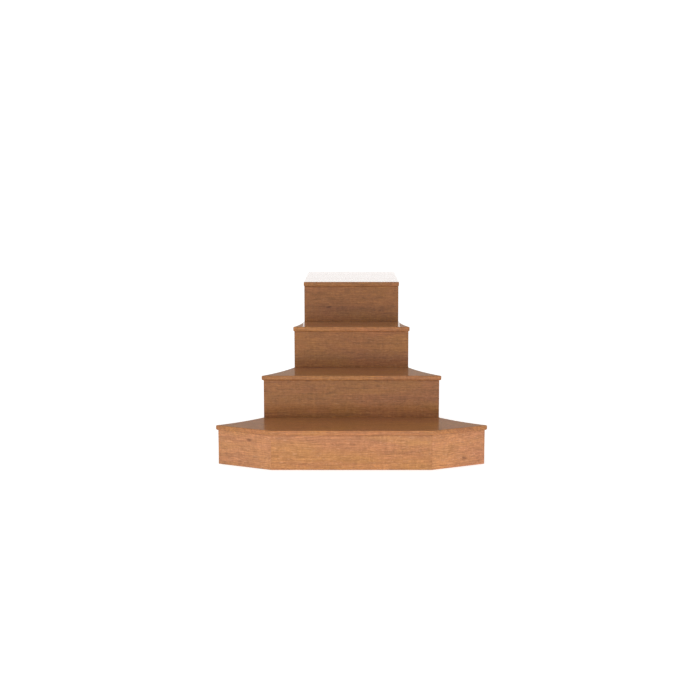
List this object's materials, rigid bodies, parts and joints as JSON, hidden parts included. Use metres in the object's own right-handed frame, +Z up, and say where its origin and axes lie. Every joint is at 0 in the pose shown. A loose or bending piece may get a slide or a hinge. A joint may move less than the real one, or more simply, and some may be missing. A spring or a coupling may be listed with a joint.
{
  "type": "spa steps",
  "caption": "Closed wooden staircase with a platform, concave sides that fit between two round tubs, and a faceted bottom step.",
  "frame": {"origin": "on the floor, at the middle of the footprint: the centre of the bottom of the bounding box", "axes": "+Z up, +Y the way that a person climbs (from the bottom step to the platform), +X to their right"},
  "size_m": [1.5186, 1.775, 0.96],
  "materials": {
    "tread_wood": "satin clear-coated reddish-brown hardwood, grain across the steps",
    "riser_wood": "satin clear-coated reddish-brown hardwood, grain across the steps",
    "panel_wood": "satin clear-coated reddish-brown hardwood boards, grain level",
    "frame_timber": "planed, unfinished softwood",
    "zinc_screw": "zinc-plated steel",
    "pad_rubber": "matt black rubber"
  },
  "bodies": {
    "root": {"back_board_lower": "panel_wood", "back_board_middle": "panel_wood", "back_board_upper": "panel_wood", "bearers_1": "frame_timber", "bearers_2": "frame_timber", "bearers_3": "frame_timber", "cross_ties": "frame_timber", "floor_pads": "pad_rubber", "frame_screws": "zinc_screw", "header_1_center": "frame_timber", "header_1_left": "frame_timber", "header_1_right": "frame_timber", "header_2": "frame_timber", "header_3": "frame_timber", "header_4": "frame_timber", "header_5": "frame_timber", "ledger_1": "frame_timber", "ledger_2": "frame_timber", "ledger_3": "frame_timber", "platform_back": "tread_wood", "platform_bearers": "frame_timber", "platform_front": "tread_wood", "platform_middle": "tread_wood", "platform_splines": "frame_timber", "post_1_inner_left": "frame_timber", "post_1_inner_right": "frame_timber", "post_1_outer_left": "frame_timber", "post_1_outer_right": "frame_timber", "post_2_left": "frame_timber", "post_2_right": "frame_timber", "post_3_left": "frame_timber", "post_3_right": "frame_timber", "post_4_left": "frame_timber", "post_4_right": "frame_timber", "post_5_left": "frame_timber", "post_5_right": "frame_timber", "riser_1_center": "riser_wood", "riser_1_left": "riser_wood", "riser_1_right": "riser_wood", "riser_2": "riser_wood", "riser_3": "riser_wood", "riser_4": "riser_wood", "side_panel_1_left": "panel_wood", "side_panel_1_right": "panel_wood", "side_panel_2_left": "panel_wood", "side_panel_2_right": "panel_wood", "side_panel_3_left": "panel_wood", "side_panel_3_right": "panel_wood", "side_panel_4_left": "panel_wood", "side_panel_4_right": "panel_wood", "side_ribs_1": "frame_timber", "side_ribs_2": "frame_timber", "side_ribs_3": "frame_timber", "side_ribs_4": "frame_timber", "sole_left": "frame_timber", "sole_right": "frame_timber", "tread_1": "tread_wood", "tread_2": "tread_wood", "tread_3": "tread_wood", "wood_screws": "zinc_screw"}
  },
  "joints": []
}
